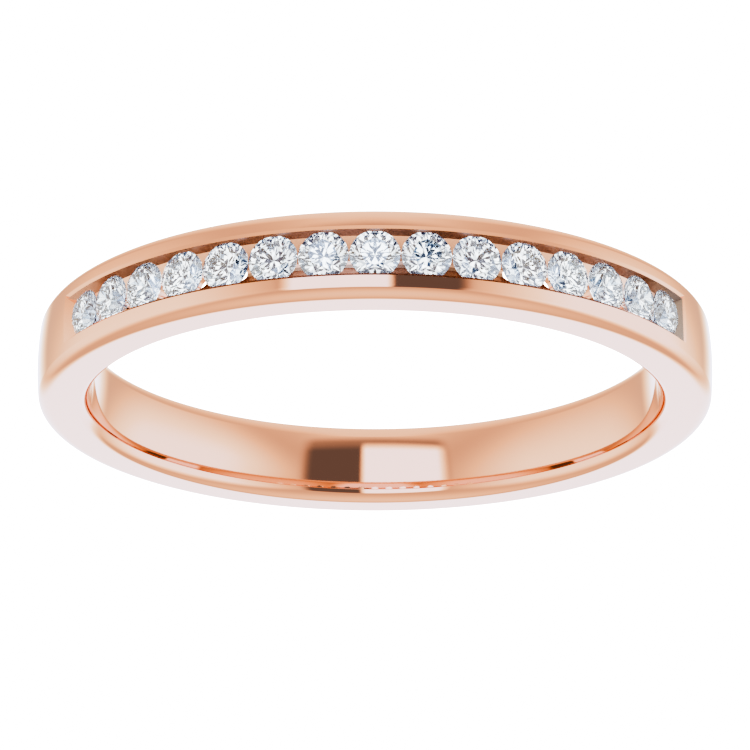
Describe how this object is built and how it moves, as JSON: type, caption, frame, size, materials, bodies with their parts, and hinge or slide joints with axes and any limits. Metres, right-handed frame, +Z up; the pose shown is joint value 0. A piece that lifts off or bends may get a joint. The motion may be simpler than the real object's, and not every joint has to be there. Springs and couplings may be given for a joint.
{
  "type": "wedding band",
  "caption": "Slim polished rose gold wedding band with a row of round diamonds set in a channel along its top.",
  "frame": {"origin": "middle of the finger hole, on its axis, midway between the band's two side faces", "axes": "+Y along the finger hole's axis, +Z up through the middle of the row of diamonds, +X to the right"},
  "size_m": [0.0206, 0.0026, 0.0206],
  "materials": {
    "rose_gold": "polished",
    "diamond": "faceted"
  },
  "bodies": {
    "root": {"band": "rose_gold", "diamond_01": "diamond", "diamond_02": "diamond", "diamond_03": "diamond", "diamond_04": "diamond", "diamond_05": "diamond", "diamond_06": "diamond", "diamond_07": "diamond", "diamond_08": "diamond", "diamond_09": "diamond", "diamond_10": "diamond", "diamond_11": "diamond", "diamond_12": "diamond", "diamond_13": "diamond", "diamond_14": "diamond", "diamond_15": "diamond"}
  },
  "joints": []
}
